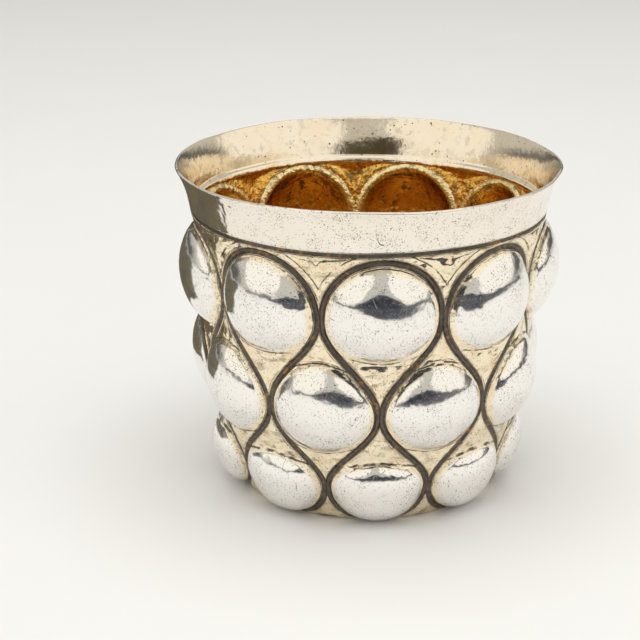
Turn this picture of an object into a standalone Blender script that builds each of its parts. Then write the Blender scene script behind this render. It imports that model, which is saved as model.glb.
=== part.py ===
"""Silver-gilt beaker: one raised sheet of silver, with three staggered rows of bosses below a flared lip.

+Z is up, the origin is the centre of the underside, and a boss of the top row faces -Y.
A place on the cup is given as on the sheet that it was raised from: "turn" is the angle from the
middle of a top-row boss, counted in bosses, and "run" is the distance in metres along the plain
profile, from the centre of the base out to its edge and up the wall to the lip.
"""

import math

import bmesh
import bpy
import numpy as np
from mathutils import Vector
from mathutils.geometry import interpolate_bezier

MM = 0.001

# Radii of the plain cup, outside, at the levels where it is measured.
LIP_RADIUS = 44.0 * MM
NECK_RADIUS = 40.8 * MM
TOP_ROW_RADIUS = 38.9 * MM
MIDDLE_ROW_RADIUS = 36.7 * MM
BOTTOM_ROW_RADIUS = 32.8 * MM
BASE_RADIUS = 27.5 * MM

# Heights of those levels, each above the one below it. A row's level is where its bosses touch.
BOTTOM_ROW_RISE = 8.9 * MM
MIDDLE_ROW_RISE = 19.1 * MM
TOP_ROW_RISE = 22.4 * MM
NECK_RISE = 15.7 * MM
LIP_BAND = 9.9 * MM
LIP_FLARE = 32.0

WALL = 0.7 * MM

BOSSES = 9
TOP_BOSS_BULGE = 4.8 * MM
MIDDLE_BOSS_BULGE = 4.3 * MM
BOTTOM_BOSS_BULGE = 3.8 * MM
BOSS_FULLNESS = 0.84
BOTTOM_BOSS_FULLNESS = 0.7

# How far a boss reaches above and below its row's level. The top row's arches reach up to the
# neck, and the bottom row's down to the base, less a narrow margin of plain sheet.
TOP_BOSS_BELOW = 9.3 * MM
MIDDLE_BOSS_ABOVE = 12.6 * MM
MIDDLE_BOSS_BELOW = 9.5 * MM
BOTTOM_BOSS_ABOVE = 7.9 * MM
ARCH_MARGIN = 1.6 * MM
FOOT_MARGIN = 1.9 * MM

GROOVE_WIDTH = 1.4 * MM
GROOVE_DEPTH = 0.55 * MM
NECK_GROOVE_WIDTH = 1.5 * MM
NECK_GROOVE_DEPTH = 0.45 * MM

# Faces across half a boss, across the plain sheet beside a fan, and along each stretch of a groove.
SIDE_FACES = 3
PLAIN_FACES = 1
WAVE_FACES = 5
FAN_FACES = 4
BAND_FACES = 2

# Most of the room beside a groove that its sloping side may take, where two grooves run together.
GROOVE_SHARE = 0.6
HANDLE = 0.36
PROFILE_STEPS = 48
MERGE = 0.001 * MM

CREASE_ANGLE = 30.0
SILVER_GILT = (0.87, 0.8, 0.64, 1.0)
GILT_ROUGHNESS = 0.22

PITCH = 2 * math.pi / BOSSES
BOTTOM_ROW_HEIGHT = BOTTOM_ROW_RISE
MIDDLE_ROW_HEIGHT = BOTTOM_ROW_HEIGHT + MIDDLE_ROW_RISE
TOP_ROW_HEIGHT = MIDDLE_ROW_HEIGHT + TOP_ROW_RISE
NECK_HEIGHT = TOP_ROW_HEIGHT + NECK_RISE
LIP_HEIGHT = NECK_HEIGHT + LIP_BAND


def plain_profile():
    """Points (radius, height) of the plain cup outside, from the centre of the base to the lip."""
    levels = [
        Vector((BASE_RADIUS, 0)),
        Vector((BOTTOM_ROW_RADIUS, BOTTOM_ROW_HEIGHT)),
        Vector((MIDDLE_ROW_RADIUS, MIDDLE_ROW_HEIGHT)),
        Vector((TOP_ROW_RADIUS, TOP_ROW_HEIGHT)),
        Vector((NECK_RADIUS, NECK_HEIGHT)),
        Vector((LIP_RADIUS, LIP_HEIGHT)),
    ]
    flare = math.radians(LIP_FLARE)
    headings = [Vector((1, 0))]
    headings += [(after - before).normalized() for before, after in zip(levels, levels[2:])]
    headings += [Vector((math.sin(flare), math.cos(flare)))]
    points = [Vector((0, 0)), levels[0]]
    for (start, end), (out, into) in zip(zip(levels, levels[1:]), zip(headings, headings[1:])):
        handle = HANDLE * (end - start).length
        curve = interpolate_bezier(start, start + handle * out, end - handle * into, end, PROFILE_STEPS)
        points += curve[1:]
    return np.array([(p.x, p.y) for p in points])


PROFILE = plain_profile()
RUNS = np.concatenate([[0], np.cumsum(np.linalg.norm(np.diff(PROFILE, axis=0), axis=1))])
SLOPES = np.gradient(PROFILE, RUNS, axis=0)


def run_at(height):
    """Run at which the wall reaches this height."""
    wall = RUNS >= BASE_RADIUS
    return float(np.interp(height, PROFILE[wall, 1], RUNS[wall]))


def radius_at(run):
    return float(np.interp(run, RUNS, PROFILE[:, 0]))


BASE_RUN = BASE_RADIUS
FOOT_RUN = BASE_RUN + FOOT_MARGIN
BOTTOM_RUN = run_at(BOTTOM_ROW_HEIGHT)
MIDDLE_RUN = run_at(MIDDLE_ROW_HEIGHT)
TOP_RUN = run_at(TOP_ROW_HEIGHT)
NECK_RUN = run_at(NECK_HEIGHT)
ARCH_RUN = NECK_RUN - ARCH_MARGIN
LIP_RUN = float(RUNS[-1])


def ease(share):
    """Smooth step that carries a groove from one touch to the next."""
    return share * share * (3 - 2 * share)


def groove_turn(run):
    """Turn of the groove at this run. It swings between 0 and a half, and closes at arch and foot."""
    if run >= TOP_RUN:
        rise = min(1.0, (run - TOP_RUN) / (ARCH_RUN - TOP_RUN))
        return 0.5 * math.sqrt(1 - rise * rise)
    if run >= MIDDLE_RUN:
        return 0.5 * ease((run - MIDDLE_RUN) / (TOP_RUN - MIDDLE_RUN))
    if run >= BOTTOM_RUN:
        return 0.5 - 0.5 * ease((run - BOTTOM_RUN) / (MIDDLE_RUN - BOTTOM_RUN))
    fall = min(1.0, (BOTTOM_RUN - run) / (BOTTOM_RUN - FOOT_RUN))
    return 0.5 * math.sqrt(1 - fall * fall)


def dome(across, low, run, high, bulge, fullness=BOSS_FULLNESS):
    """Height of one boss: full in its middle, and nothing at its sides and at its two ends."""
    along = (2 * run - low - high) / (high - low)
    left = (1 - across * across) * (1 - along * along)
    if abs(across) >= 1 or abs(along) >= 1:
        return 0.0
    return bulge * left**fullness


def boss_height(turn, run):
    """Height of the bosses above the plain cup. Turn runs from 0 to a half."""
    groove = groove_turn(run)
    if turn <= groove and groove > 0:
        across = turn / groove
        if run > MIDDLE_RUN:
            return dome(across, TOP_RUN - TOP_BOSS_BELOW, run, ARCH_RUN, TOP_BOSS_BULGE)
        high = BOTTOM_RUN + BOTTOM_BOSS_ABOVE
        return dome(across, FOOT_RUN, run, high, BOTTOM_BOSS_BULGE, BOTTOM_BOSS_FULLNESS)
    if groove >= 0.5 or not BOTTOM_RUN < run < TOP_RUN:
        return 0.0
    across = (0.5 - turn) / (0.5 - groove)
    low, high = MIDDLE_RUN - MIDDLE_BOSS_BELOW, MIDDLE_RUN + MIDDLE_BOSS_ABOVE
    return dome(across, low, run, high, MIDDLE_BOSS_BULGE)


def point_on_cup(turn, run, lift):
    """Point in space at this place on the sheet, lifted off the plain cup along its normal."""
    radius, height = (np.interp(run, RUNS, PROFILE[:, axis]) for axis in (0, 1))
    out, up = (np.interp(run, RUNS, SLOPES[:, axis]) for axis in (0, 1))
    steep = math.hypot(out, up)
    radius += lift * up / steep
    height -= lift * out / steep
    angle = turn * PITCH
    return Vector((radius * math.sin(angle), -radius * math.cos(angle), height))


def metres_apart(start, end):
    """Distance on the sheet between two places, each a turn and a run."""
    around = (end[0] - start[0]) * PITCH * radius_at((start[1] + end[1]) / 2)
    return math.hypot(around, end[1] - start[1])


def between(start, end, share):
    return tuple(a + share * (b - a) for a, b in zip(start, end))


def half_row(inner, groove, outer, outer_faces, slant=1.0):
    """Places across half a boss: from inner to the groove and on to outer, each with its lift.

    Slant is how much longer the groove's width is along this row than square across it.
    """
    half_width = GROOVE_WIDTH / 2 * slant
    sides = []
    for end, faces in ((inner, SIDE_FACES), (outer, outer_faces)):
        room = metres_apart(groove, end)
        edge = min(half_width, GROOVE_SHARE * room) / room if room > MERGE else 1.0
        brink = between(groove, end, edge)
        sides.append([between(end, brink, i / faces) for i in range(faces + 1)])
    row = [*sides[0], groove, *reversed(sides[1])]
    lifts = []
    for place in row:
        closeness = 1 - metres_apart(groove, place) / half_width
        lifts.append(boss_height(*place) - GROOVE_DEPTH * max(0.0, closeness))
    return [(turn, run, lift) for (turn, run), lift in zip(row, lifts)]


def wave_rows(low, high):
    """Level rows between two rows of bosses, where the groove swings from one touch to the next."""
    rows = []
    for i in range(WAVE_FACES + 1):
        share = i / WAVE_FACES
        run = low + share * (high - low)
        swing = 0.5 * PITCH * radius_at(run) * 6 * share * (1 - share) / (high - low)
        slant = math.hypot(1, swing)
        rows.append(half_row((0, run), (groove_turn(run), run), (0.5, run), SIDE_FACES, slant))
    return rows


def fan_rows(middle, reach, limit):
    """Rows that turn about the middle of a boss, over its arch or under its foot.

    Reach is the run of the groove's far point, and limit that of the level line beyond it.
    The rows end on the line between two bosses as far as its corner, and then on the level line.
    """
    corner = FAN_FACES - BAND_FACES
    rows = []
    for i in range(FAN_FACES + 1):
        angle = math.pi / 2 * i / FAN_FACES
        groove = (0.5 * math.cos(angle), middle + (reach - middle) * math.sin(angle))
        if i <= corner:
            outer = (0.5, middle + (limit - middle) * i / corner)
        else:
            outer = (0.5 * (FAN_FACES - i) / BAND_FACES, limit)
        rows.append(half_row((0, middle), groove, outer, PLAIN_FACES))
    return rows


def level_rows(runs_and_lifts):
    """Level rows where the cup is plain: on the lip's band and on the base."""
    turns = [0.5 * i / BAND_FACES for i in range(BAND_FACES + 1)]
    return [[(turn, run, lift) for turn in turns] for run, lift in runs_and_lifts]


def half_boss_patches():
    """Every patch of the cup across half a boss, from the lip down to the centre of the base."""
    neck_low = NECK_RUN - NECK_GROOVE_WIDTH / 2
    neck_high = NECK_RUN + NECK_GROOVE_WIDTH / 2
    band_middle = (neck_high + LIP_RUN) / 2
    neck = [(neck_low, 0), (NECK_RUN, -NECK_GROOVE_DEPTH), (neck_high, 0)]
    return [
        level_rows([*neck, (band_middle, 0), (LIP_RUN, 0)]),
        fan_rows(TOP_RUN, ARCH_RUN, neck_low),
        wave_rows(MIDDLE_RUN, TOP_RUN),
        wave_rows(BOTTOM_RUN, MIDDLE_RUN),
        fan_rows(BOTTOM_RUN, FOOT_RUN, BASE_RUN),
        level_rows([(0, 0), (BASE_RUN, 0)]),
    ]


def add_patch(sheet, rows):
    """Loft the faces of one patch between its rows."""
    grid = [[sheet.verts.new(point_on_cup(*place)) for place in row] for row in rows]
    for lower, upper in zip(grid, grid[1:]):
        for corners in zip(lower, lower[1:], upper[1:], upper):
            sheet.faces.new(corners)


def raised_sheet():
    """The outside of the cup as one sheet, open at the lip."""
    sheet = bmesh.new()
    for rows in half_boss_patches():
        add_patch(sheet, rows)
    bmesh.ops.remove_doubles(sheet, verts=sheet.verts, dist=MERGE)
    half = [*sheet.verts, *sheet.edges, *sheet.faces]
    bmesh.ops.mirror(sheet, geom=half, axis="X", merge_dist=MERGE)
    bmesh.ops.spin(
        sheet,
        geom=[*sheet.verts, *sheet.edges, *sheet.faces],
        axis=(0, 0, 1),
        angle=2 * math.pi - PITCH,
        steps=BOSSES - 1,
        use_duplicate=True,
    )
    bmesh.ops.remove_doubles(sheet, verts=sheet.verts, dist=MERGE)
    bmesh.ops.recalc_face_normals(sheet, faces=sheet.faces)
    lowest = min(sheet.faces, key=lambda face: face.calc_center_median().z)
    if lowest.normal.z > 0:
        bmesh.ops.reverse_faces(sheet, faces=sheet.faces)
    return sheet


def silver_gilt():
    material = bpy.data.materials.new("silver_gilt")
    material.use_nodes = True
    shader = material.node_tree.nodes["Principled BSDF"]
    shader.inputs["Base Color"].default_value = SILVER_GILT
    shader.inputs["Metallic"].default_value = 1.0
    shader.inputs["Roughness"].default_value = GILT_ROUGHNESS
    return material


def beaker():
    sheet = raised_sheet()
    mesh = bpy.data.meshes.new("beaker")
    sheet.to_mesh(mesh)
    sheet.free()
    mesh.shade_smooth()
    mesh.set_sharp_from_angle(angle=math.radians(CREASE_ANGLE))
    mesh.materials.append(silver_gilt())
    body = bpy.data.objects.new("beaker", mesh)
    wall = body.modifiers.new("wall", "SOLIDIFY")
    wall.thickness = WALL
    wall.offset = -1
    wall.use_even_offset = True
    return body


for old in list(bpy.data.objects):
    bpy.data.objects.remove(old, do_unlink=True)

collection = bpy.data.collections.new("silver_gilt_beaker")
bpy.context.scene.collection.children.link(collection)
collection.objects.link(beaker())
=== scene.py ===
"""Looks of the silver-gilt beaker: its chased relief, its worn gilding, and a plain studio."""

import math

import bmesh
import bpy
import numpy as np
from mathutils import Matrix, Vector, noise
from mathutils.geometry import interpolate_bezier


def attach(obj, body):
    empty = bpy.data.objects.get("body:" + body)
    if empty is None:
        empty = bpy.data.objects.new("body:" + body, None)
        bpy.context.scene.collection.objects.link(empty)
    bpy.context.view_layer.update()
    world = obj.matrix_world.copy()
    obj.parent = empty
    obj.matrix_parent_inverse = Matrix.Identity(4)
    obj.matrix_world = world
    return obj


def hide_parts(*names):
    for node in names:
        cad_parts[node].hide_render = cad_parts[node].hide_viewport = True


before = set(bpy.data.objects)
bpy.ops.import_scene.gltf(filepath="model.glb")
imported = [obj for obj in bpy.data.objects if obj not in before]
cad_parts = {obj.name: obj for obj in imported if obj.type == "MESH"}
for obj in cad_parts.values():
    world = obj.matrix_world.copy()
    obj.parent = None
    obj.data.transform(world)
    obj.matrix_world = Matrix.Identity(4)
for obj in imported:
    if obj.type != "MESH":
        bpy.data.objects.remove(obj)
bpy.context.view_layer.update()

MM = 0.001

# The plain cup outside, as in the solids: radii and heights of its levels.
LIP_RADIUS = 44.0 * MM
NECK_RADIUS = 40.8 * MM
TOP_ROW_RADIUS = 38.9 * MM
MIDDLE_ROW_RADIUS = 36.7 * MM
BOTTOM_ROW_RADIUS = 32.8 * MM
BASE_RADIUS = 27.5 * MM
BOTTOM_ROW_HEIGHT = 8.9 * MM
MIDDLE_ROW_HEIGHT = 28.0 * MM
TOP_ROW_HEIGHT = 50.4 * MM
NECK_HEIGHT = 66.1 * MM
LIP_HEIGHT = 76.0 * MM
LIP_FLARE = 32.0
WALL = 0.7 * MM
LIP_ROUNDING = 0.2 * MM

BOSSES = 9
TOP_BOSS_BULGE = 4.8 * MM
MIDDLE_BOSS_BULGE = 4.3 * MM
BOTTOM_BOSS_BULGE = 3.8 * MM
BOSS_FULLNESS = 0.78
BOTTOM_BOSS_FULLNESS = 0.68
BOSS_ARCHING = 1.4 * MM
TOP_BOSS_BELOW = 9.3 * MM
MIDDLE_BOSS_ABOVE = 12.6 * MM
MIDDLE_BOSS_BELOW = 9.5 * MM
BOTTOM_BOSS_ABOVE = 7.9 * MM
ARCH_MARGIN = 1.6 * MM
FOOT_MARGIN = 1.9 * MM

# The chased grooves, and how near two of them come where they touch, in bosses.
GROOVE_HALF = 0.74 * MM
GROOVE_DEPTH = 0.6 * MM
TOUCH = 0.03
NECK_HALF = 0.6 * MM
NECK_DEPTH = 0.45 * MM

# Small forms of the chasing: the flat band beside each arch, and the pillow above it.
BAND_WIDTH = 1.55 * MM
PILLOW_BULGE = 0.85 * MM
PILLOW_EDGE = 0.9 * MM
TAIL_BULGE = 0.35 * MM
TAIL_MIDDLE = 39.0 * MM
TAIL_HALF = 1.9 * MM

# Raised edge that the punch leaves beside a groove, as distances in mm from the groove's middle.
BURR_START = 0.703
BURR_MIDDLE = 0.92
BURR_END = 1.25

# Unevenness of handwork: how far the sheet wanders and how deep its dents are in mm, over these lengths.
HAND_SEED = 5
WANDER = 0.28
WANDER_LENGTH = 17 * MM
HAMMER_DENT = 0.11
HAMMER_LENGTH = 7 * MM
HAMMER_SHIFT = Vector((9, 4, 2))
STEADY_FOOT = 6 * MM

# Faces of half a boss: across each side, across the groove, and along each stretch of it.
SIDE_FACES = 8
GROOVE_FACES = 6
WAVE_FACES = 34
ARCH_FACES = 16
FOOT_FACES = 10
BAND_FACES = 8
NECK_ROWS = 7
BAND_ROWS = 12
BASE_ROWS = 5
LIP_SEGMENTS = 3
GROOVE_SHARE = 0.7

# Curves: reach of the profile's handles, points along each curve, and the mix of a groove's two steps.
HANDLE = 0.36
PROFILE_STEPS = 96
ARCH_STEPS = 240
WAVE_STEPS = 900
SMOOTH_SHARE = 0.6

# Limits: points this near become one, a boss is at least a sliver wide, and far is clear of every edge.
MERGE = 0.001 * MM
SLIVER = 1e-4
FAR = 9 * MM
STEEPEST_SWING = 2

# Cross-section of a chased groove, and the crease and the darkness at the neck.
SECTION_FLATNESS = 3
SECTION_ROUNDING = 1.5
NECK_CREASE = 0.4 * MM
NECK_DARK = 1.15

PITCH = 2 * math.pi / BOSSES


def plain_profile():
    """Points (radius, height) of the plain cup outside, from the centre of the base to the lip."""
    levels = [
        Vector((BASE_RADIUS, 0)),
        Vector((BOTTOM_ROW_RADIUS, BOTTOM_ROW_HEIGHT)),
        Vector((MIDDLE_ROW_RADIUS, MIDDLE_ROW_HEIGHT)),
        Vector((TOP_ROW_RADIUS, TOP_ROW_HEIGHT)),
        Vector((NECK_RADIUS, NECK_HEIGHT)),
        Vector((LIP_RADIUS, LIP_HEIGHT)),
    ]
    flare = math.radians(LIP_FLARE)
    headings = [Vector((1, 0))]
    headings += [(after - before).normalized() for before, after in zip(levels, levels[2:])]
    headings += [Vector((math.sin(flare), math.cos(flare)))]
    points = [Vector((0, 0)), levels[0]]
    for (start, end), (out, into) in zip(zip(levels, levels[1:]), zip(headings, headings[1:])):
        handle = HANDLE * (end - start).length
        curve = interpolate_bezier(start, start + handle * out, end - handle * into, end, PROFILE_STEPS)
        points += curve[1:]
    return np.array([(p.x, p.y) for p in points])


PROFILE = plain_profile()
RUNS = np.concatenate([[0], np.cumsum(np.linalg.norm(np.diff(PROFILE, axis=0), axis=1))])
SLOPES = np.gradient(PROFILE, RUNS, axis=0)


def run_at(height):
    wall = RUNS >= BASE_RADIUS
    return float(np.interp(height, PROFILE[wall, 1], RUNS[wall]))


def radius_at(run):
    return np.maximum(np.interp(run, RUNS, PROFILE[:, 0]), MERGE)


BASE_RUN = BASE_RADIUS
FOOT_RUN = BASE_RUN + FOOT_MARGIN
BOTTOM_RUN = run_at(BOTTOM_ROW_HEIGHT)
MIDDLE_RUN = run_at(MIDDLE_ROW_HEIGHT)
TOP_RUN = run_at(TOP_ROW_HEIGHT)
NECK_RUN = run_at(NECK_HEIGHT)
ARCH_RUN = NECK_RUN - ARCH_MARGIN
LIP_RUN = float(RUNS[-1])
WIDE = 0.5 - TOUCH / 2


def ease(share):
    """Step that carries a groove from one touch to the next."""
    share = np.clip(share, 0, 1)
    smooth = share * share * (3 - 2 * share)
    smoother = share**3 * (10 - 15 * share + 6 * share * share)
    return SMOOTH_SHARE * smooth + (1 - SMOOTH_SHARE) * smoother


def groove_turn(run):
    """Turn of the groove's middle at these runs."""
    rise = np.clip((run - TOP_RUN) / (ARCH_RUN - TOP_RUN), 0, 1)
    fall = np.clip((BOTTOM_RUN - run) / (BOTTOM_RUN - FOOT_RUN), 0, 1)
    upper = ease((run - MIDDLE_RUN) / (TOP_RUN - MIDDLE_RUN))
    lower = 1 - ease((run - BOTTOM_RUN) / (MIDDLE_RUN - BOTTOM_RUN))
    swing = TOUCH / 2 + (WIDE - TOUCH / 2) * np.where(run >= MIDDLE_RUN, upper, lower)
    swing = np.where(run > TOP_RUN, WIDE * np.sqrt(1 - rise * rise), swing)
    return np.where(run < BOTTOM_RUN, WIDE * np.sqrt(1 - fall * fall), swing)


def groove_path():
    """Places along the groove's middle over half a boss: its arch, its two waves and its foot."""
    angles = np.linspace(math.pi / 2, 0, ARCH_STEPS)
    arch = np.stack([WIDE * np.cos(angles), TOP_RUN + (ARCH_RUN - TOP_RUN) * np.sin(angles)], 1)
    foot = np.stack([WIDE * np.cos(angles), BOTTOM_RUN - (BOTTOM_RUN - FOOT_RUN) * np.sin(angles)], 1)
    runs = np.linspace(TOP_RUN, BOTTOM_RUN, WAVE_STEPS)
    waves = np.stack([groove_turn(runs), runs], 1)
    return np.concatenate([arch, waves, foot[::-1]]), arch


def apart(places, path):
    """Shortest distance on the sheet from each place to a path, in metres."""
    around = (path[None, :, 0] - places[:, None, 0]) * PITCH * radius_at(places[:, 1])[:, None]
    along = path[None, :, 1] - places[:, None, 1]
    return np.sqrt(np.min(around * around + along * along, axis=1))


def mirrored(path, turn):
    return np.stack([2 * turn - path[:, 0], path[:, 1]], 1)


def dome(across, low, run, high, bulge, low_arch=0.0, high_arch=0.0, fullness=BOSS_FULLNESS):
    """Height of one boss, and the signed distances inside its lower and its upper end."""
    low = low + low_arch * across * across
    high = high - high_arch * across * across
    along = (2 * run - low - high) / (high - low)
    left = np.clip(1 - across * across, 0, 1) * np.clip(1 - along * along, 0, 1)
    return bulge * left**fullness, run - low, high - run


def section(away):
    """Depth of a chased groove: 1 in its middle, and 0 from its brink on."""
    return (1 - np.clip(away, 0, 1) ** SECTION_FLATNESS) ** SECTION_ROUNDING


def relief(places):
    """Lift of the sheet at these places, with what the shader needs to know of each."""
    turn, run = places.T
    path, arch = groove_path()
    groove = np.minimum(apart(places, path), apart(places, mirrored(path, 0.0)))
    groove = np.minimum(groove, apart(places, mirrored(path, 0.5)))

    middle = groove_turn(run)
    inner = turn <= middle
    swing = np.gradient(groove_turn(RUNS), RUNS) * PITCH * radius_at(RUNS)
    swing = np.clip(np.interp(run, RUNS, swing), -STEEPEST_SWING, STEEPEST_SWING)
    edge = GROOVE_HALF * np.hypot(1, swing) / (PITCH * radius_at(run))
    near = np.maximum(middle - edge, SLIVER)
    far = np.maximum(0.5 - middle - edge, SLIVER)

    top, top_low, _ = dome(
        turn / near, TOP_RUN - TOP_BOSS_BELOW, run, ARCH_RUN - GROOVE_HALF, TOP_BOSS_BULGE, BOSS_ARCHING
    )
    low, _, low_high = dome(
        turn / near,
        FOOT_RUN + GROOVE_HALF,
        run,
        BOTTOM_RUN + BOTTOM_BOSS_ABOVE,
        BOTTOM_BOSS_BULGE,
        0.0,
        BOSS_ARCHING,
        BOTTOM_BOSS_FULLNESS,
    )
    mid, mid_low, mid_high = dome(
        (0.5 - turn) / far,
        MIDDLE_RUN - MIDDLE_BOSS_BELOW,
        run,
        MIDDLE_RUN + MIDDLE_BOSS_ABOVE,
        MIDDLE_BOSS_BULGE,
        BOSS_ARCHING,
        BOSS_ARCHING,
    )
    away = np.full_like(run, FAR)
    upper = run > MIDDLE_RUN
    within = (run > BOTTOM_RUN) & (run < TOP_RUN)
    boss = np.where(inner, np.where(upper, top, low), np.where(within, mid, 0.0))
    full = np.where(
        inner,
        np.where(upper, top / TOP_BOSS_BULGE, low / BOTTOM_BOSS_BULGE),
        np.where(within, mid / MIDDLE_BOSS_BULGE, 0.0),
    )
    below = np.where(inner, np.where(upper, top_low, away), np.where(within, mid_low, away))
    above = np.where(inner, np.where(upper, away, low_high), np.where(within, mid_high, away))

    tail = (run - run_at(TAIL_MIDDLE)) / TAIL_HALF
    tail = np.clip(1 - tail * tail, 0, 1) * np.clip(1 - (turn / near) ** 2, 0, 1)
    boss = boss + np.where(inner & upper, TAIL_BULGE * tail, 0.0)

    left = apart(places, arch) - GROOVE_HALF - BAND_WIDTH
    right = apart(places, mirrored(arch, 0.5)) - GROOVE_HALF - BAND_WIDTH
    neck = NECK_RUN - NECK_HALF - run
    over = (turn >= middle) & (run > TOP_RUN)
    pillow = np.ones_like(run)
    for gap in (left, right, neck):
        pillow = pillow * (1 - np.exp(-np.clip(gap, 0, None) / PILLOW_EDGE))
    boss = boss + np.where(over, PILLOW_BULGE * pillow, 0.0)
    rim = np.where(over | (run > ARCH_RUN), np.minimum(np.minimum(left, right), neck + NECK_CREASE), away)

    neck_away = np.abs(run - NECK_RUN) / NECK_HALF
    lift = boss - GROOVE_DEPTH * section(groove / GROOVE_HALF)
    lift = lift - NECK_DEPTH * section(neck_away)
    dark = np.minimum(groove, neck_away * GROOVE_HALF * NECK_DARK)
    return lift, dark, full, np.stack([below, above, rim], 1)


def between(start, end, share):
    return start + share * (end - start)


def half_row(inner, groove, outer, slant=1.0):
    """Places across half a boss: from inner to the groove, across it, and on to outer."""
    inner, groove, outer = np.array(inner), np.array(groove), np.array(outer)
    brinks = []
    for end in (inner, outer):
        step = (end - groove) * (PITCH * radius_at((groove[1] + end[1]) / 2), 1)
        room = math.hypot(*step)
        share = min(GROOVE_HALF * slant, GROOVE_SHARE * room) / room if room > MERGE else 1.0
        brinks.append(between(groove, end, share))
    ways = [(inner, brinks[0], SIDE_FACES), (brinks[0], groove, GROOVE_FACES // 2)]
    ways += [(groove, brinks[1], GROOVE_FACES // 2), (brinks[1], outer, SIDE_FACES)]
    row = [inner]
    for start, end, faces in ways:
        row += [between(start, end, i / faces) for i in range(1, faces + 1)]
    return row


def wave_rows(low, high):
    """Level rows between two rows of bosses, where the groove swings from one touch to the next."""
    rows = []
    for i in range(WAVE_FACES + 1):
        share = i / WAVE_FACES
        run = low + share * (high - low)
        swing = 0.5 * PITCH * radius_at(run) * 6 * share * (1 - share) / (high - low)
        rows.append(half_row((0, run), (float(groove_turn(run)), run), (0.5, run), math.hypot(1, swing)))
    return rows


def fan_rows(middle, reach, limit, faces, corner):
    """Rows that turn about the middle of a boss, over its arch or under its foot."""
    rows = []
    for i in range(faces + 1):
        angle = math.pi / 2 * i / faces
        groove = (WIDE * math.cos(angle), middle + (reach - middle) * math.sin(angle))
        if i <= corner:
            outer = (0.5, middle + (limit - middle) * i / corner)
        else:
            outer = (0.5 * (faces - i) / (faces - corner), limit)
        rows.append(half_row((0, middle), groove, outer))
    return rows


def level_rows(runs, faces):
    """Plain level rows, on the lip's band and on the base."""
    return [[np.array((0.5 * i / faces, run)) for i in range(faces + 1)] for run in runs]


def half_boss_patches():
    """Every patch of the cup across half a boss, from the lip down to the centre of the base."""
    neck_low = NECK_RUN - NECK_HALF
    neck_high = NECK_RUN + NECK_HALF
    neck = list(np.linspace(neck_low, neck_high, NECK_ROWS))
    band = list(np.linspace(neck_high, LIP_RUN, BAND_ROWS))
    return [
        level_rows(neck + band[1:], BAND_FACES),
        fan_rows(TOP_RUN, ARCH_RUN, neck_low, ARCH_FACES, ARCH_FACES - BAND_FACES),
        wave_rows(MIDDLE_RUN, TOP_RUN),
        wave_rows(BOTTOM_RUN, MIDDLE_RUN),
        fan_rows(BOTTOM_RUN, FOOT_RUN, BASE_RUN, FOOT_FACES, FOOT_FACES // 2),
        level_rows(np.linspace(0, BASE_RUN, BASE_ROWS), FOOT_FACES // 2),
    ]


def beaker_sheet():
    """The outside of the cup as one mesh, with what the shader reads kept on its points."""
    places, faces = [], []
    for rows in half_boss_patches():
        first, width = len(places), len(rows[0])
        places += [place for row in rows for place in row]
        for i in range(len(rows) - 1):
            for j in range(width - 1):
                a = first + i * width + j
                faces.append((a, a + 1, a + 1 + width, a + width))
    places = np.array(places)
    lift, dark, full, seams = relief(places)

    radius, height = (np.interp(places[:, 1], RUNS, PROFILE[:, axis]) for axis in (0, 1))
    out, up = (np.interp(places[:, 1], RUNS, SLOPES[:, axis]) for axis in (0, 1))
    steep = np.hypot(out, up)
    radius = radius + lift * up / steep
    height = height - lift * out / steep
    angle = places[:, 0] * PITCH

    sheet = bmesh.new()
    layers = sheet.verts.layers
    groove_layer = layers.float.new("groove")
    full_layer = layers.float.new("full")
    run_layer = layers.float.new("run")
    seam_layer = layers.float_vector.new("seam")
    corners = []
    for i in range(len(places)):
        x, y = radius[i] * math.sin(angle[i]), -radius[i] * math.cos(angle[i])
        vertex = sheet.verts.new((x, y, height[i]))
        vertex[groove_layer] = dark[i] / MM
        vertex[full_layer] = full[i]
        vertex[run_layer] = places[i, 1] / MM
        vertex[seam_layer] = Vector(seams[i] / MM)
        corners.append(vertex)
    for face in faces:
        sheet.faces.new([corners[i] for i in face])
    bmesh.ops.remove_doubles(sheet, verts=sheet.verts, dist=MERGE)
    half = [*sheet.verts, *sheet.edges, *sheet.faces]
    bmesh.ops.mirror(sheet, geom=half, axis="X", merge_dist=MERGE)
    bmesh.ops.spin(
        sheet,
        geom=[*sheet.verts, *sheet.edges, *sheet.faces],
        axis=(0, 0, 1),
        angle=2 * math.pi - PITCH,
        steps=BOSSES - 1,
        use_duplicate=True,
    )
    bmesh.ops.remove_doubles(sheet, verts=sheet.verts, dist=MERGE)
    bmesh.ops.recalc_face_normals(sheet, faces=sheet.faces)
    lowest = min(sheet.faces, key=lambda face: face.calc_center_median().z)
    if lowest.normal.z > 0:
        bmesh.ops.reverse_faces(sheet, faces=sheet.faces)
    lip_layer = sheet.edges.layers.float.new("bevel_weight_edge")
    for edge in sheet.edges:
        edge[lip_layer] = float(edge.is_boundary)
    return sheet


def hand_made(sheet):
    """Small unevenness left by the hammer and the punches."""
    noise.seed_set(HAND_SEED)
    for vertex in sheet.verts:
        place = vertex.co
        keep = min(1.0, max(0.0, place.z / STEADY_FOOT))
        wander = noise.noise_vector(place / WANDER_LENGTH) * WANDER * MM
        dent = noise.noise(place / HAMMER_LENGTH + HAMMER_SHIFT) * HAMMER_DENT * MM
        out = Vector((place.x, place.y, 0)).normalized()
        vertex.co = place + keep * (wander + dent * out)


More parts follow.
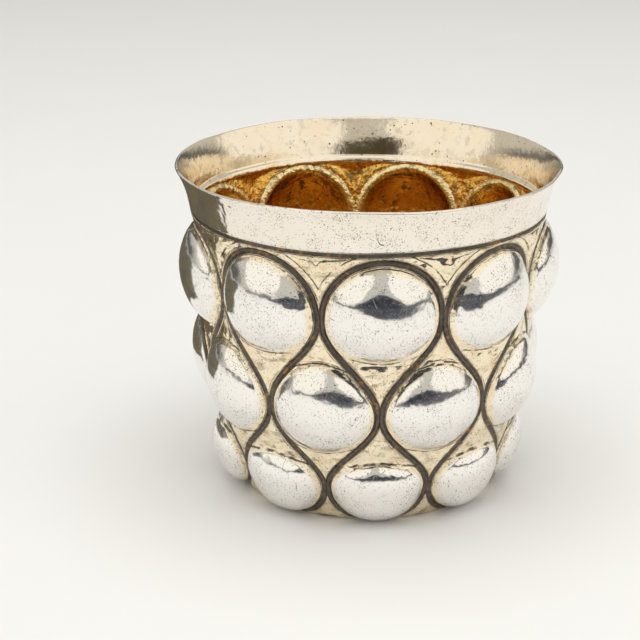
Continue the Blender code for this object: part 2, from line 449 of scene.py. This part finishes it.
def beaker():
    """The sheet given its wall and its rounded lip."""
    sheet = beaker_sheet()
    hand_made(sheet)
    mesh = bpy.data.meshes.new("gilt_beaker")
    sheet.to_mesh(mesh)
    sheet.free()
    mesh.shade_smooth()
    body = bpy.data.objects.new("gilt_beaker", mesh)
    bpy.context.scene.collection.objects.link(body)
    wall = body.modifiers.new("wall", "SOLIDIFY")
    wall.thickness = WALL
    wall.offset = -1
    wall.use_even_offset = True
    wall.material_offset = 1
    wall.material_offset_rim = 0
    lip = body.modifiers.new("lip", "BEVEL")
    lip.width = LIP_ROUNDING
    lip.segments = LIP_SEGMENTS
    lip.limit_method = "WEIGHT"
    return body


# A small mark: how ragged its outline is and how far that wanders, its least size and spread, and its fade.
SPECK_RAGGED = 1.6
SPECK_WANDER = 0.8
SPECK_LEAST = 0.25
SPECK_SPREAD = 0.35
SPECK_FADE = (0.06, -0.02)


class Graph:
    """A material's node tree, with short ways to add to it. A value is a number, a colour or a socket."""

    def __init__(self, name):
        self.material = bpy.data.materials.new(name)
        self.material.use_nodes = True
        self.tree = self.material.node_tree
        self.shader = self.tree.nodes["Principled BSDF"]

    def put(self, value, socket):
        if isinstance(value, bpy.types.NodeSocket):
            self.tree.links.new(value, socket)
        else:
            socket.default_value = value

    def paint(self, **values):
        for name, value in values.items():
            self.put(value, self.shader.inputs[name.replace("_", " ")])

    def attribute(self, name, output="Fac"):
        node = self.tree.nodes.new("ShaderNodeAttribute")
        node.attribute_name = name
        return node.outputs[output]

    def place(self):
        return self.tree.nodes.new("ShaderNodeTexCoord").outputs["Object"]

    def parts(self, vector):
        node = self.tree.nodes.new("ShaderNodeSeparateXYZ")
        self.put(vector, node.inputs[0])
        return node.outputs[0], node.outputs[1], node.outputs[2]

    def maths(self, operation, first, second=0.0, third=0.0):
        node = self.tree.nodes.new("ShaderNodeMath")
        node.operation = operation
        for value, socket in zip((first, second, third), node.inputs):
            self.put(value, socket)
        return node.outputs[0]

    def step(self, value, low, high):
        """From 0 where the value is at low to 1 where it is at high, whichever of them is the larger."""
        node = self.tree.nodes.new("ShaderNodeMapRange")
        node.interpolation_type = "SMOOTHSTEP"
        for given, name in ((value, "Value"), (low, "From Min"), (high, "From Max")):
            self.put(given, node.inputs[name])
        return node.outputs[0]

    def mix(self, share, first, second):
        node = self.tree.nodes.new("ShaderNodeMix")
        node.data_type = "RGBA"
        for value, socket in ((share, node.inputs[0]), (first, node.inputs[6]), (second, node.inputs[7])):
            self.put((*value, 1.0) if isinstance(value, tuple) else value, socket)
        return node.outputs[2]

    def noise(self, size, detail=2.0, stretch=(1, 1, 1)):
        """Noise between 0 and 1 whose forms are about this large."""
        mapping = self.tree.nodes.new("ShaderNodeMapping")
        self.put(self.place(), mapping.inputs["Vector"])
        mapping.inputs["Scale"].default_value = stretch
        node = self.tree.nodes.new("ShaderNodeTexNoise")
        self.put(mapping.outputs[0], node.inputs["Vector"])
        node.inputs["Scale"].default_value = 1 / size
        node.inputs["Detail"].default_value = detail
        return node.outputs["Fac"]

    def specks(self, spacing, size, share):
        """Small round marks, 1 inside them, in this share of the cells of a random pattern."""
        wander = self.tree.nodes.new("ShaderNodeVectorMath")
        wander.operation = "MULTIPLY_ADD"
        ragged = self.tree.nodes.new("ShaderNodeTexNoise")
        self.put(self.place(), ragged.inputs["Vector"])
        ragged.inputs["Scale"].default_value = SPECK_RAGGED / size
        self.put(ragged.outputs["Color"], wander.inputs[0])
        wander.inputs[1].default_value = (size * SPECK_WANDER,) * 3
        self.put(self.place(), wander.inputs[2])
        cells = self.tree.nodes.new("ShaderNodeTexVoronoi")
        self.put(wander.outputs[0], cells.inputs["Vector"])
        cells.inputs["Scale"].default_value = 1 / spacing
        red, green, _ = self.parts(cells.outputs["Color"])
        least, spread = (share_of * size / spacing for share_of in (SPECK_LEAST, SPECK_SPREAD))
        reach = self.maths("MULTIPLY_ADD", green, spread, least)
        inside = self.step(self.maths("SUBTRACT", cells.outputs["Distance"], reach), *SPECK_FADE)
        return self.maths("MULTIPLY", inside, self.maths("LESS_THAN", red, share))

    def dents(self, height, distance, normal=None):
        node = self.tree.nodes.new("ShaderNodeBump")
        node.inputs["Distance"].default_value = distance
        self.put(height, node.inputs["Height"])
        if normal is not None:
            self.put(normal, node.inputs["Normal"])
        return node.outputs[0]


# Colours of the metal, of the dirt and patina, and of the painted crease shade and the painted reflection
# in the olive smears, as light that it returns.
SILVER = (0.95, 0.925, 0.885)
GILT_PALE = (0.95, 0.84, 0.63)
GILT_WARM = (0.88, 0.71, 0.49)
BAND_PALE = (0.94, 0.895, 0.83)
BAND_GILT = (0.91, 0.83, 0.71)
INNER_PALE = (0.94, 0.87, 0.76)
INNER_GILT = (0.90, 0.76, 0.55)
PATINA_DARK = (0.058, 0.047, 0.039)
PATINA_GREY = (0.25, 0.22, 0.19)
COPPER = (0.40, 0.23, 0.10)
OLIVE = (0.34, 0.28, 0.16)
DARK_MARK_COLOUR = (0.05, 0.042, 0.036)
GOLD = (0.92, 0.58, 0.15)
GOLD_DEEP = (0.72, 0.35, 0.05)
GOLD_PALE = (0.92, 0.76, 0.42)

# Places in mm, as the shaders read them from the sheet.
DITCH_EDGE = GROOVE_HALF / MM
NECK_PLACE = NECK_RUN / MM

# Gilding outside. A fade is the pair of levels between which a thing sets in.
CLOUD_SIZE = 9 * MM
RAGGED_SIZE = 0.9 * MM
WORN_BY_CLOUD = (0.9, -0.45)
WORN_BY_HEIGHT = (0.0, 0.5)
WORN_FADE = (0.05, 0.8)
GILT_SIZE = 2.6 * MM
GILT_FADE = (0.42, 0.72)
BAND_FADE = (NECK_PLACE, NECK_PLACE + 0.8)
FLAT_FADE = (0.28, 0.0)

# Creases where a boss ends below and above and where a pillow ends, darkened with painted shade, as half
# widths in mm.
CREASE_SWAY = (0.5, -0.25)
CREASE_BELOW = 0.26
CREASE_ABOVE = 0.32
CREASE_RIM = 0.22
CREASE_CORE = 0.35
CREASE_SIZE = 3.2 * MM
CREASE_FADE = (0.36, 0.52)

# The dark grooves, their coppery flecks, and a ragged darker strip beside them.
DITCH_SWAY = 0.5
DITCH_FADE = (DITCH_EDGE * 1.04, DITCH_EDGE * 0.86)
COPPER_SIZE = 1.1 * MM
COPPER_FADE = (0.54, 0.66)
COPPER_CLOUD = (0.38, 0.6)
BRINK_DARK_FADE = (DITCH_EDGE + 0.75, DITCH_EDGE)
BRINK_DARK_RAGGED = (0.45, 0.75)

# Pits, dust and scratches outside, and olive smears on the flat ground that are partly patina and partly
# painted dark reflection.
CROWD_SIZE = 4.5 * MM
CROWD_FADE = (0.42, 0.68)
PIT_SPACING = 0.62 * MM
PIT_SIZE = 0.27 * MM
PIT_CROWD = (0.5, 0.05)
DUST_SPACING = 0.30 * MM
DUST_SIZE = 0.17 * MM
DUST_CROWD = (0.85, 0.2)
SCRATCH_SIZE = 8 * MM
SCRATCH_STRETCH = (1, 1, 0.6)
SCRATCH_LEVEL = 0.5
SCRATCH_FADE = (0.0035, 0.001)
SCRATCH_PATCH = 3 * MM
SCRATCH_PATCH_FADE = (0.6, 0.66)
PATINA_REFLECTION_SIZE = 3.4 * MM
PATINA_REFLECTION_STRETCH = (1, 1, 2.2)
PATINA_REFLECTION_FADE = (0.54, 0.68)
PATINA_REFLECTION_CLOUD = (0.3, 0.55)

# How strongly each kind of dark mark shows: real dirt, the painted reflection in the smears and the painted
# shade in the creases.
DUST_SHARE = 0.9
PATINA_REFLECTION_SHARE = 0.75
MARK_SHARE = 0.85
CREASE_SHADE_SHARE = 0.9
BRINK_DARK_SHARE = 0.55
INNER_DIRT_SHARE = 0.85

# Roughness: its spread and least value on clean metal, and what the dark marks add.
ROUGH_OUTSIDE = (0.10, 0.07)
ROUGH_DITCH = 0.34
ROUGH_DARKENING = 0.1
ROUGH_INSIDE = (0.12, 0.08)
ROUGH_INNER_DIRT = 0.3

# Dents outside, and how deep they are.
BEATEN_SIZE = 4.5 * MM
BEATEN_FADE = (1.6, 0.0)
BEATEN_DEPTH = 0.34 * MM
FLAT_SIZE = 3.8 * MM
FLAT_RISE = 2.6
BURR_RISE = 0.35
CREASE_SUNK = 1.5
MARK_SUNK = 0.3
GRAIN_SIZE = 0.5 * MM
GRAIN_BY_DITCH = (1.6, 0.1)
GRAIN_DEPTH = 0.05 * MM

# Inside: pale ridges and flecks on the gold, the start of the band, specks and soot, and dents.
INNER_CLOUD_SIZE = 7 * MM
INNER_RAGGED_SIZE = 1.2 * MM
RIDGE_SWAY = (0.6, -0.3)
RIDGE_FADE = (1.7, 0.9)
FLECK_SIZE = 1.0 * MM
FLECK_FADE = (0.58, 0.68)
FLECK_SHARE = 0.5
PALE_FADE = (NECK_PLACE - 0.8, NECK_PLACE - 1.4)
INNER_BAND_START = (1.2, NECK_PLACE - 1.1)
INNER_BAND_FADE = (0.0, 0.5)
INNER_CROWD_SIZE = 6 * MM
INNER_CROWD_FADE = (0.3, 0.7)
INNER_CROWD_BAND = (-0.75, 1.0)
INNER_SPECK_SPACING = 0.9 * MM
INNER_SPECK_SIZE = 0.4 * MM
INNER_SPECK_CROWD = (0.6, 0.06)
SOOT_SIZE = 1.8 * MM
SOOT_FADE = (0.5, 0.64)
INNER_BEATEN_SIZE = 4.0 * MM
INNER_BEATEN_DEPTH = 0.09 * MM
CRUST_BAND = (-0.9, 1.0)
CRUST_DEPTH = 0.42 * MM


def silver_gilt():
    """Worn gilding: silver on the bosses, pale gold towards their edges, and dark grooves."""
    graph = Graph("silver_gilt")
    groove = graph.attribute("groove")
    full = graph.attribute("full")
    run = graph.attribute("run")
    below, above, rim = graph.parts(graph.attribute("seam", "Vector"))
    cloud = graph.noise(CLOUD_SIZE, 3.0)
    ragged = graph.noise(RAGGED_SIZE, 3.0)

    worn = graph.maths("MULTIPLY_ADD", cloud, *WORN_BY_CLOUD)
    worn = graph.maths("ADD", graph.step(full, *WORN_BY_HEIGHT), worn)
    gilt = graph.mix(graph.step(graph.noise(GILT_SIZE, 4.0), *GILT_FADE), GILT_PALE, GILT_WARM)
    colour = graph.mix(graph.step(worn, *WORN_FADE), gilt, SILVER)
    band = graph.step(run, *BAND_FADE)
    colour = graph.mix(band, colour, graph.mix(cloud, BAND_PALE, BAND_GILT))

    flat = graph.maths("MULTIPLY", graph.step(full, *FLAT_FADE), graph.maths("SUBTRACT", 1.0, band))
    thread = graph.maths("MULTIPLY_ADD", ragged, *CREASE_SWAY)
    # Painted shade: dark lines along the creases where a boss or a pillow meets the ground around it.
    creases = None
    for seam, width in ((below, CREASE_BELOW), (above, CREASE_ABOVE), (rim, CREASE_RIM)):
        away = graph.maths("ABSOLUTE", graph.maths("ADD", seam, thread))
        line = graph.step(away, width, width * CREASE_CORE)
        creases = line if creases is None else graph.maths("MAXIMUM", creases, line)
    creases = graph.maths("MULTIPLY", creases, graph.step(graph.noise(CREASE_SIZE), *CREASE_FADE))

    edge = graph.maths("ADD", groove, graph.maths("MULTIPLY", thread, DITCH_SWAY))
    ditch = graph.step(edge, *DITCH_FADE)
    copper = graph.step(graph.noise(COPPER_SIZE, 4.0), *COPPER_FADE)
    copper = graph.maths("MULTIPLY", copper, graph.step(cloud, *COPPER_CLOUD))
    patina = graph.mix(ragged, PATINA_DARK, PATINA_GREY)
    patina = graph.mix(copper, patina, COPPER)
    # A ragged strip just outside each groove, darker than the metal around it.
    brink_dark = graph.step(edge, *BRINK_DARK_FADE)
    brink_dark = graph.maths("MULTIPLY", brink_dark, graph.step(ragged, *BRINK_DARK_RAGGED))

    crowd = graph.step(graph.noise(CROWD_SIZE, 4.0), *CROWD_FADE)
    pits = graph.specks(PIT_SPACING, PIT_SIZE, graph.maths("MULTIPLY_ADD", crowd, *PIT_CROWD))
    dust = graph.specks(DUST_SPACING, DUST_SIZE, graph.maths("MULTIPLY_ADD", crowd, *DUST_CROWD))
    scratch = graph.maths("SUBTRACT", graph.noise(SCRATCH_SIZE, 0.0, SCRATCH_STRETCH), SCRATCH_LEVEL)
    scratch = graph.step(graph.maths("ABSOLUTE", scratch), *SCRATCH_FADE)
    patch = graph.step(graph.noise(SCRATCH_PATCH, 1.0), *SCRATCH_PATCH_FADE)
    scratch = graph.maths("MULTIPLY", scratch, patch)
    marks = graph.maths("MAXIMUM", pits, graph.maths("MULTIPLY", dust, DUST_SHARE))
    marks = graph.maths("MAXIMUM", marks, scratch)

    # Olive smears on the flat ground: partly patina, partly painted dark reflection.
    patina_and_reflection = graph.step(graph.noise(PATINA_REFLECTION_SIZE, 4.0, PATINA_REFLECTION_STRETCH), *PATINA_REFLECTION_FADE)
    patina_and_reflection = graph.maths("MULTIPLY", graph.maths("MULTIPLY", patina_and_reflection, flat), graph.step(cloud, *PATINA_REFLECTION_CLOUD))
    colour = graph.mix(graph.maths("MULTIPLY", patina_and_reflection, PATINA_REFLECTION_SHARE), colour, OLIVE)

    # Dark marks: real pits, dust and scratches, together with painted shade in the creases and a darker
    # strip beside the grooves.
    darkening = graph.maths("MULTIPLY", marks, MARK_SHARE)
    darkening = graph.maths("MAXIMUM", darkening, graph.maths("MULTIPLY", creases, CREASE_SHADE_SHARE))
    darkening = graph.maths("MAXIMUM", darkening, graph.maths("MULTIPLY", brink_dark, BRINK_DARK_SHARE))
    colour = graph.mix(darkening, colour, DARK_MARK_COLOUR)
    colour = graph.mix(ditch, colour, patina)

    rough = graph.maths("MULTIPLY_ADD", cloud, *ROUGH_OUTSIDE)
    rough = graph.maths("MULTIPLY_ADD", ditch, ROUGH_DITCH, rough)
    rough = graph.maths("MULTIPLY_ADD", darkening, ROUGH_DARKENING, rough)
    rise = graph.maths("MULTIPLY", graph.noise(BEATEN_SIZE, 2.0), graph.step(full, *BEATEN_FADE))
    hollows = graph.maths("MULTIPLY", graph.noise(FLAT_SIZE, 1.0), flat)
    rise = graph.maths("MULTIPLY_ADD", hollows, FLAT_RISE, rise)
    burr = graph.step(edge, BURR_START, BURR_MIDDLE)
    burr = graph.maths("MULTIPLY", burr, graph.step(edge, BURR_END, BURR_MIDDLE))
    rise = graph.maths("MULTIPLY_ADD", burr, BURR_RISE, rise)
    beaten = graph.dents(rise, BEATEN_DEPTH)
    sunk = graph.maths("MULTIPLY_ADD", creases, CREASE_SUNK, graph.maths("MULTIPLY", marks, MARK_SUNK))
    grain = graph.noise(GRAIN_SIZE, 2.0)
    grain = graph.maths("MULTIPLY", grain, graph.maths("MULTIPLY_ADD", ditch, *GRAIN_BY_DITCH))
    normal = graph.dents(graph.maths("SUBTRACT", grain, sunk), GRAIN_DEPTH, beaten)
    graph.paint(Base_Color=colour, Metallic=1.0, Roughness=rough, Normal=normal)
    return graph.material


def gilt_inside():
    """Inside: a pale gilt band above the neck, and below it deep gold with dark specks."""
    graph = Graph("gilt_inside")
    groove = graph.attribute("groove")
    run = graph.attribute("run")
    cloud = graph.noise(INNER_CLOUD_SIZE, 3.0)
    ragged = graph.noise(INNER_RAGGED_SIZE, 3.0)

    ridge = graph.maths("ADD", groove, graph.maths("MULTIPLY_ADD", ragged, *RIDGE_SWAY))
    colour = graph.mix(ragged, GOLD_DEEP, GOLD)
    flecks = graph.step(graph.noise(FLECK_SIZE, 4.0), *FLECK_FADE)
    below = graph.step(run, *PALE_FADE)
    pale = graph.maths("MULTIPLY", flecks, FLECK_SHARE)
    pale = graph.maths("MAXIMUM", pale, graph.step(ridge, *RIDGE_FADE))
    colour = graph.mix(graph.maths("MULTIPLY", pale, below), colour, GOLD_PALE)
    start = graph.maths("MULTIPLY_ADD", cloud, *INNER_BAND_START)
    band = graph.step(graph.maths("SUBTRACT", run, start), *INNER_BAND_FADE)
    colour = graph.mix(band, colour, graph.mix(cloud, INNER_PALE, INNER_GILT))

    crowd = graph.step(graph.noise(INNER_CROWD_SIZE, 2.0), *INNER_CROWD_FADE)
    crowd = graph.maths("MULTIPLY", crowd, graph.maths("MULTIPLY_ADD", band, *INNER_CROWD_BAND))
    share = graph.maths("MULTIPLY_ADD", crowd, *INNER_SPECK_CROWD)
    specks = graph.specks(INNER_SPECK_SPACING, INNER_SPECK_SIZE, share)
    soot = graph.maths("MULTIPLY", graph.step(graph.noise(SOOT_SIZE, 4.0), *SOOT_FADE), crowd)
    darkening = graph.maths("MULTIPLY", specks, INNER_DIRT_SHARE)
    darkening = graph.maths("MAXIMUM", darkening, graph.maths("MULTIPLY", soot, INNER_DIRT_SHARE))
    colour = graph.mix(darkening, colour, DARK_MARK_COLOUR)

    rough = graph.maths("MULTIPLY_ADD", cloud, *ROUGH_INSIDE)
    rough = graph.maths("MULTIPLY_ADD", darkening, ROUGH_INNER_DIRT, rough)
    beaten = graph.dents(graph.noise(INNER_BEATEN_SIZE, 2.0), INNER_BEATEN_DEPTH)
    crust = graph.maths("MULTIPLY", ragged, graph.maths("MULTIPLY_ADD", band, *CRUST_BAND))
    normal = graph.dents(crust, CRUST_DEPTH, beaten)
    graph.paint(Base_Color=colour, Metallic=1.0, Roughness=rough, Normal=normal)
    return graph.material


# The floor, and the world's light, which is darker behind the beaker and low down.
FLOOR_LIGHT = (0.86, 0.865, 0.88)
FLOOR_SHADE = (0.83, 0.835, 0.85)
FLOOR_PATCH = 60 * MM
FLOOR_GRAIN = 20 * MM
FLOOR_ROUGH = (0.1, 0.5)
FLOOR_HALF = 3.0
FLOOR_DROP = 0.02 * MM
WORLD_FRONT = (0.58, 0.56, 0.51)
WORLD_BACK = (0.10, 0.10, 0.095)
BACK_FADE = (-0.1, 0.45)
LOW_FADE = (0.28, 0.1)

# Dark cards. Sides are degrees from the camera's side of the beaker, and lengths are in metres.
CARD_BLUE = (0.008, 0.02, 0.055)
CARD_GREY = (0.07, 0.068, 0.062)
CARD_BROWN = (0.12, 0.10, 0.055)
CARD_PATCH = 60 * MM
CARD_FADE = (0.4, 0.7)
CARD_ROUGH = 0.8
CARD_LIFT = 0.001
TABLE_NEAR = 0.155
TABLE_NEAREST_SIDE = 20
TABLE_BOW = 0.00008
TABLE_FAR = 0.62
TABLE_STRIP = 0.035
TABLE_HEIGHT = 0.15
TABLE_HIGHEST_SIDE = 6
TABLE_SLOPE = 0.0016
TABLE_SLOPE_POWER = 1.2
TABLE_LOW = 0.03
TABLE_SIDES = range(-78, 118, 4)
BACK_NEAR = 0.10
BACK_FAR = 1.2
BACK_SIDES = range(172, 266, 4)
MOUTH_AWAY = 0.012
MOUTH_HALF = 11.5 * MM
MOUTH_HEIGHTS = (70 * MM, 86 * MM)

# Soft lights: side, distance, height, width, depth, power and colour.
BOX_LEFT = (-52, 0.66, 0.42, 1.16, 0.98, 1.15, (1.0, 0.965, 0.87))
BOX_RIGHT = (67, 0.66, 0.42, 1.48, 0.98, 1.48, (1.0, 0.965, 0.88))
BOX_TOP = (0, 0.02, 0.95, 1.00, 1.00, 1.07, (1.0, 0.99, 0.97))
FILL_TOP = (0, 0.02, 0.96, 0.90, 0.90, 3.6, (1.0, 0.985, 0.96))
AIM = Vector((0, 0, 0.04))

# The photograph's camera: 40 cm from the beaker's axis, looking down at it.
CAMERA_AWAY = 397.2 * MM
CAMERA_HEIGHT = 178.1 * MM
CAMERA_PITCH = 0.3399
CAMERA_YAW = 0.0277
CAMERA_LENS = 101.05
CAMERA_SENSOR = 36
CAMERA_CLIP = 0.01
LOBE_TURN = 0.0841


def studio_floor():
    """A plain pale floor, slightly mottled."""
    graph = Graph("floor")
    tone = graph.mix(graph.noise(FLOOR_PATCH, 4.0), FLOOR_LIGHT, FLOOR_SHADE)
    rough = graph.maths("MULTIPLY_ADD", graph.noise(FLOOR_GRAIN), *FLOOR_ROUGH)
    graph.paint(Base_Color=tone, Roughness=rough, Specular_IOR_Level=0.0)
    return graph.material


def studio_world():
    """Light from all round, darker behind the beaker and low down."""
    world = bpy.data.worlds.new("studio")
    world.use_nodes = True
    tree = world.node_tree
    direction = tree.nodes.new("ShaderNodeSeparateXYZ")
    tree.links.new(tree.nodes.new("ShaderNodeTexCoord").outputs["Generated"], direction.inputs[0])
    shares = []
    for output, low, high in ((1, *BACK_FADE), (2, *LOW_FADE)):
        ramp = tree.nodes.new("ShaderNodeMapRange")
        ramp.interpolation_type = "SMOOTHSTEP"
        ramp.inputs["From Min"].default_value = low
        ramp.inputs["From Max"].default_value = high
        tree.links.new(direction.outputs[output], ramp.inputs["Value"])
        shares.append(ramp.outputs[0])
    share = tree.nodes.new("ShaderNodeMath")
    share.operation = "MULTIPLY"
    blend = tree.nodes.new("ShaderNodeMix")
    blend.data_type = "RGBA"
    blend.inputs[6].default_value = (*WORLD_FRONT, 1)
    blend.inputs[7].default_value = (*WORLD_BACK, 1)
    tree.links.new(shares[0], share.inputs[0])
    tree.links.new(shares[1], share.inputs[1])
    tree.links.new(share.outputs[0], blend.inputs[0])
    tree.links.new(blend.outputs[2], tree.nodes["Background"].inputs["Color"])
    bpy.context.scene.world = world


def from_camera(side, away, height):
    """Place on this side of the beaker, in degrees from the camera's side, positive to the right."""
    angle = math.radians(side) - LOBE_TURN
    return Vector((away * math.sin(angle), -away * math.cos(angle), height))


def area_light(name, side, away, height, size, size_y, power, colour):
    """A soft elliptical light that faces the beaker."""
    light = bpy.data.lights.new(name, "AREA")
    light.shape = "ELLIPSE"
    light.size = size
    light.size_y = size_y
    light.energy = power
    light.color = colour
    lamp = bpy.data.objects.new(name, light)
    lamp.location = from_camera(side, away, height)
    lamp.rotation_euler = (AIM - lamp.location).to_track_quat("-Z", "Y").to_euler()
    bpy.context.scene.collection.objects.link(lamp)
    return lamp


def dark_card(name, first, second):
    """Dull material in two dark colours, for a card."""
    graph = Graph(name)
    tone = graph.mix(graph.step(graph.noise(CARD_PATCH, 5.0), *CARD_FADE), first, second)
    graph.paint(Base_Color=tone, Roughness=CARD_ROUGH)
    return graph.material


def unseen_card(name, rows, material):
    """A card that only reflections show, as faces between rows of points."""
    mesh = bpy.data.meshes.new(name)
    sheet = bmesh.new()
    grid = [[sheet.verts.new(point) for point in row] for row in rows]
    for lower, upper in zip(grid, grid[1:]):
        for corners in zip(lower, lower[1:], upper[1:], upper):
            sheet.faces.new(corners)
    sheet.to_mesh(mesh)
    sheet.free()
    card = bpy.data.objects.new(name, mesh)
    mesh.materials.append(material)
    bpy.context.scene.collection.objects.link(card)
    card.visible_camera = False
    card.visible_diffuse = False
    card.visible_shadow = False


def table_rows():
    """Near edge, foot and top of the card in front, which narrows and runs low to both sides."""
    near, foot, top = [], [], []
    for side in TABLE_SIDES:
        away = min(TABLE_FAR - TABLE_STRIP, TABLE_NEAR + TABLE_BOW * (side - TABLE_NEAREST_SIDE) ** 2)
        drop = TABLE_SLOPE * abs(side - TABLE_HIGHEST_SIDE) ** TABLE_SLOPE_POWER
        near.append(from_camera(side, away, CARD_LIFT))
        foot.append(from_camera(side, TABLE_FAR, CARD_LIFT))
        top.append(from_camera(side, TABLE_FAR, max(TABLE_LOW, TABLE_HEIGHT - drop)))
    return [near, foot, top]


def mouth_rows():
    """Bottom and top edge of the card over the mouth."""
    half = from_camera(90, MOUTH_HALF, 0)
    middles = [from_camera(0, MOUTH_AWAY, height) for height in MOUTH_HEIGHTS]
    return [[middle - half, middle + half] for middle in middles]


body = beaker()
body.data.materials.append(silver_gilt())
body.data.materials.append(gilt_inside())
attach(body, "root")
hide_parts("beaker")

floor_mesh = bpy.data.meshes.new("floor")
floor_sheet = bmesh.new()
bmesh.ops.create_grid(floor_sheet, x_segments=1, y_segments=1, size=FLOOR_HALF)
floor_sheet.to_mesh(floor_mesh)
floor_sheet.free()
floor = bpy.data.objects.new("floor", floor_mesh)
floor.location.z = -FLOOR_DROP
bpy.context.scene.collection.objects.link(floor)
floor_mesh.materials.append(studio_floor())

# One card lies in front of the beaker and rises at its far edge: the dark lens on each boss.
unseen_card("table_card", table_rows(), dark_card("table_card", CARD_BLUE, CARD_GREY))

# One lies behind it on the left, and darkens its left side.
back_rows = [[from_camera(side, away, CARD_LIFT) for side in BACK_SIDES] for away in (BACK_NEAR, BACK_FAR)]
unseen_card("back_card", back_rows, dark_card("back_card", CARD_BROWN, CARD_GREY))

# A small one over the mouth gives the dark patch in the middle of the inner band.
unseen_card("mouth_card", mouth_rows(), dark_card("mouth_card", CARD_BROWN, CARD_GREY))

area_light("box_left", *BOX_LEFT)
area_light("box_right", *BOX_RIGHT)
area_light("box_top", *BOX_TOP)
fill = area_light("fill_top", *FILL_TOP)
fill.visible_glossy = False
studio_world()
bpy.context.scene.view_settings.view_transform = "Standard"

camera_data = bpy.data.cameras.new("camera")
camera_data.lens = CAMERA_LENS
camera_data.sensor_width = CAMERA_SENSOR
camera_data.clip_start = CAMERA_CLIP
camera = bpy.data.objects.new("camera", camera_data)
camera.location = from_camera(0, CAMERA_AWAY, CAMERA_HEIGHT)
camera.rotation_euler = (math.pi / 2 - CAMERA_PITCH, 0, CAMERA_YAW - LOBE_TURN)
bpy.context.scene.collection.objects.link(camera)
bpy.context.scene.camera = camera

bpy.context.view_layer.update()
